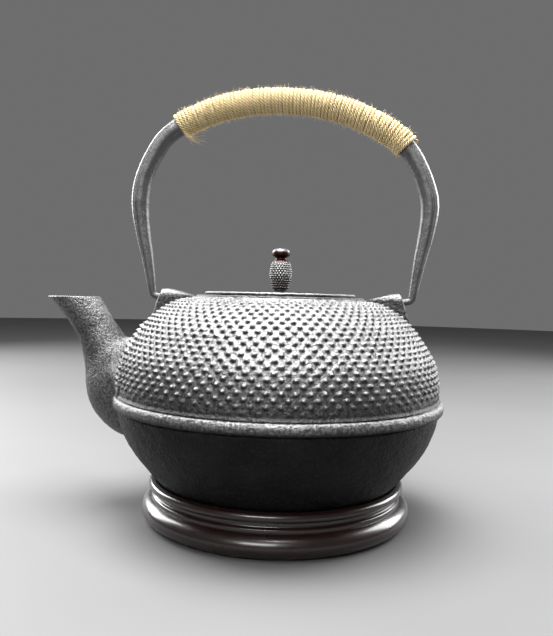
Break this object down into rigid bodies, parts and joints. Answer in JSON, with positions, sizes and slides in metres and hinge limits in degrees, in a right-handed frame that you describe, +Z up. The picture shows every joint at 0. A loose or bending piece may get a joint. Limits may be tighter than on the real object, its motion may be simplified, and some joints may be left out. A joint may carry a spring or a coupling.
{
  "type": "cast iron teapot",
  "caption": "Round cast iron teapot with hobnail shoulder, side spout, lift-off lid, swinging cord-wound bail, steel infuser and turned wooden stand.",
  "frame": {"origin": "centre of the stand's flat underside", "axes": "+Z up; the spout points along -X; the bail swings about X, so +Y and -Y are the two sides it falls to"},
  "size_m": [0.2107, 0.17, 0.2234],
  "materials": {
    "cast_iron": "matt black sand-cast iron with greyer worn tips",
    "bail_iron": "satin dark grey iron, finer grain than the body",
    "knob_iron": "satin iron with a dark reddish brown cap",
    "steel": "brushed stainless steel",
    "jute": "twisted natural jute cord, golden and hairy",
    "stand_wood": "glossy dark red-brown lacquered turned wood"
  },
  "bodies": {
    "stand": {"stand": "stand_wood"},
    "kettle": {"kettle_bowl": "cast_iron", "kettle_shoulder": "cast_iron", "kettle_spout": "cast_iron", "lug_far": "cast_iron", "lug_spout_side": "cast_iron"},
    "lid": {"lid": "cast_iron", "lid_knob": "knob_iron", "knob_washer": "steel", "knob_nut": "steel"},
    "infuser": {"infuser_rim": "steel", "infuser_sleeve": "steel", "infuser_floor": "steel"},
    "bail": {"bail_handle": "bail_iron", "grip_cord": "jute"}
  },
  "joints": [
    {"name": "kettle_lift", "type": "slide", "parent": "stand", "child": "kettle", "axis": [0, 0, 1], "range_m": [0, 0.08]},
    {"name": "lid_lift", "type": "slide", "parent": "kettle", "child": "lid", "axis": [0, 0, 1], "range_m": [0, 0.062]},
    {"name": "infuser_lift", "type": "slide", "parent": "kettle", "child": "infuser", "axis": [0, 0, 1], "range_m": [0, 0.031]},
    {"name": "bail_swing", "type": "hinge", "parent": "kettle", "child": "bail", "pos_m": [0, 0, 0.1129], "axis": [1, 0, 0], "range_deg": [-112, 112]}
  ],
  "couplings": [
    {"joint": "infuser_lift", "follows": "lid_lift", "ratio": 0.5}
  ]
}
